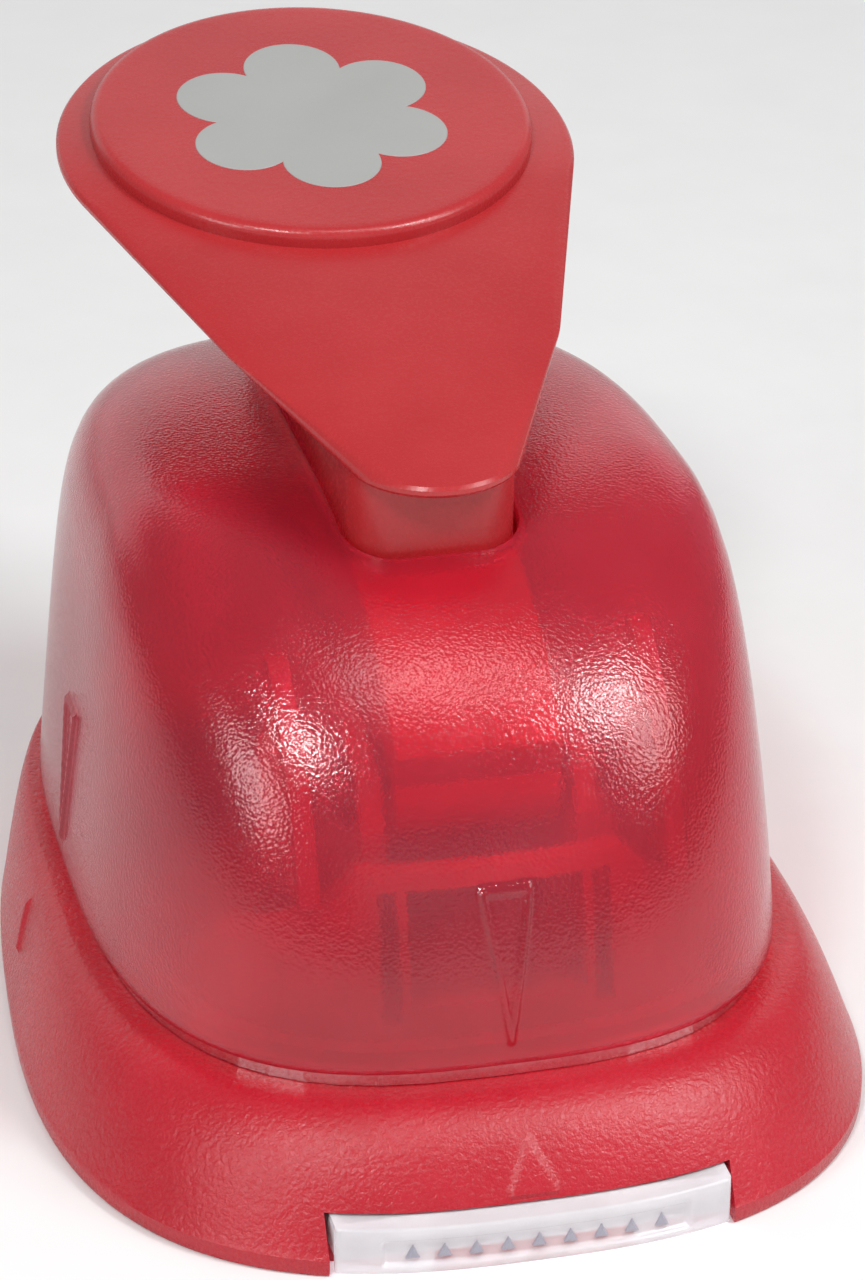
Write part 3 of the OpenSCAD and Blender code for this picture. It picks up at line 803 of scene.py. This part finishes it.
def pad_disc():
    """The thumb disc on top, with a rounded edge."""
    middle, under = 0.01, -3.4
    edge = [(DISC_R - DISC_EDGE + DISC_EDGE * math.sin(b), -DISC_EDGE + DISC_EDGE * math.cos(b))
            for b in np.linspace(0, math.pi / 2, 9)]
    foot = [(DISC_R + 0.02, -1.8), (DISC_R - 0.1, under)]
    inner = [(r, 0.0) for r in np.linspace(middle, DISC_R - 2.0, 12)]
    return on_pad(lathe("disc", inner + edge + foot + [(middle, under)], 192))


def neck():
    """The stem between the housing's crown and the fan."""
    turn = np.linspace(0, math.pi / 2, 14)
    inner = STEM_HALF_W - STEM_CORNER
    right = np.column_stack([inner + STEM_CORNER * np.sin(turn),
                             STEM_FRONT + STEM_CORNER * (1 - np.cos(turn))])
    right = np.vstack([right, [(STEM_HALF_W, STEM_BACK - 0.5), (STEM_HALF_W - 0.5, STEM_BACK)]])
    plan = np.vstack([right, (right * (-1, 1))[::-1]])
    return loft("neck", [at_height(plan, z) for z in (57.6, 60.0, 66.0, 71.5)], angle=35)


def lower_body():
    """The lever inside the housing: front plate, pivot knuckle and the roller's slot."""
    profile = [(-38, 46.4), (-30.4, 52.6), (-22, 57.2), (-19.8, 58), (-14, 59.4), (32, 60),
               (30, 50), (9, 35.8), (-9, 35.8), (-30.6, 35), (-36.6, 41.6)]
    body = bevel(prism_x("lever_body", profile, STEM_HALF_W), 0.5, 3)
    body = join([body, rod_x("knuckle", PIVOT_Y, PIVOT_Z, KNUCKLE_R, STEM_HALF_W)])
    cut(body, box("roller_slot", (-ROLLER_SLOT, -ROLLER_R - 2.5, 20),
                  (ROLLER_SLOT, ROLLER_R + 2.5, PIVOT_Z + ROLLER_R + 2)))
    return body


def flower():
    """The outer edge of six round petals, flush in the pad."""
    turn = np.radians(np.arange(0, 360, 1.0))
    off = (turn - math.pi / 6) % (math.pi / 3)
    off = np.minimum(off, math.pi / 3 - off)    # angle from the nearest petal's middle
    rings = []
    for grow, z in ((0, -0.5), (0, 0.02), (-0.06, 0.08)):
        r = PETAL_RING * np.cos(off) \
            + np.sqrt((PETAL_R + grow) ** 2 - (PETAL_RING * np.sin(off)) ** 2)
        rings.append(np.column_stack([r * np.cos(turn), r * np.sin(turn), np.full(360, z)]))
    return on_pad(loft("flower_inlay", rings))


place(join([fan(), pad_disc(), neck(), lower_body()]), "lever", "lever_red", "lever_handle")
place(flower(), "lever", "grey_print", "motif_inlay")


# ---------------------------------------------------------------- CAD parts that stay

slot_of = {row["node"]: row["material_slot"] for row in frame["record"]["subparts"]}
for name, obj in frame["nodes"].items():
    if not obj.hide_render:
        for holder in obj.material_slots:
            holder.material = MATERIALS[slot_of[name]]


# ---------------------------------------------------------------- camera, floor and light

SENSOR_W, FRAME_W = 36, 865


def camera(azimuth, elevation, roll, distance, focal_px, target):
    """Angles in degrees; the focal length is in pixels of a picture FRAME_W wide."""
    a, e, r = math.radians(azimuth), math.radians(elevation), math.radians(roll)
    back = Vector((math.sin(a) * math.cos(e), -math.cos(a) * math.cos(e), math.sin(e)))
    right = Vector((math.cos(a), math.sin(a), 0))
    up = back.cross(right)
    right_rolled = math.cos(r) * right + math.sin(r) * up
    up_rolled = -math.sin(r) * right + math.cos(r) * up
    cam = bpy.data.objects.new("camera", bpy.data.cameras.new("camera"))
    bpy.context.scene.collection.objects.link(cam)
    place_at = Matrix((right_rolled, up_rolled, back)).transposed().to_4x4()
    place_at.translation = (Vector(target) + back * distance) * MM
    cam.matrix_world = place_at
    cam.data.sensor_fit = "HORIZONTAL"
    cam.data.sensor_width = SENSOR_W
    cam.data.lens = focal_px * SENSOR_W / FRAME_W
    cam.data.clip_start = 0.05
    bpy.context.scene.camera = cam


def softbox(name, position, size, power, target=(0, 0, 45)):
    """A rectangular lamp aimed at the object's middle."""
    light = bpy.data.lights.new(name, "AREA")
    light.shape = "RECTANGLE"
    light.size, light.size_y = size[0] * MM, size[1] * MM
    light.energy = power
    obj = bpy.data.objects.new(name, light)
    bpy.context.scene.collection.objects.link(obj)
    obj.location = Vector(position) * MM
    aim = Vector(target) - Vector(position)
    obj.rotation_euler = aim.to_track_quat("-Z", "Y").to_euler()


def floor():
    size = 3000
    corners = [(-size, -size, 0), (size, -size, 0), (size, size, 0), (-size, size, 0)]
    obj = new_object("floor", corners, [(0, 1, 2, 3)])
    skin = plain("pale_floor", (0.86, 0.86, 0.86), (0.88, 0.88, 0.88), 0.8, 300, 0.01)
    obj.data.materials.append(skin)


def world(strength):
    w = bpy.data.worlds.new("studio")
    w.use_nodes = True
    background = w.node_tree.nodes["Background"]
    background.inputs["Color"].default_value = (1, 1, 1, 1)
    background.inputs["Strength"].default_value = strength
    bpy.context.scene.world = w


camera(-14.55, 28.0, 0.81, 626.9, 5574.9, (4.513, 0, 39.586))
floor()
world(0.27)
softbox("key_left", (-247, -404, 626), (105, 105), 1.85)
softbox("key_right", (365, -301, 627), (140, 165), 2.0)
softbox("top", (110, -190, 770), (200, 200), 0.6)
softbox("backdrop", (0, 850, 380), (1700, 700), 2.6)
softbox("fill_left", (-540, -350, 355), (220, 220), 1.15)
softbox("fill_right", (495, -340, 430), (220, 220), 1.0)
softbox("front", (0, -720, 230), (420, 260), 0.18)
bpy.context.scene.view_settings.view_transform = "Standard"
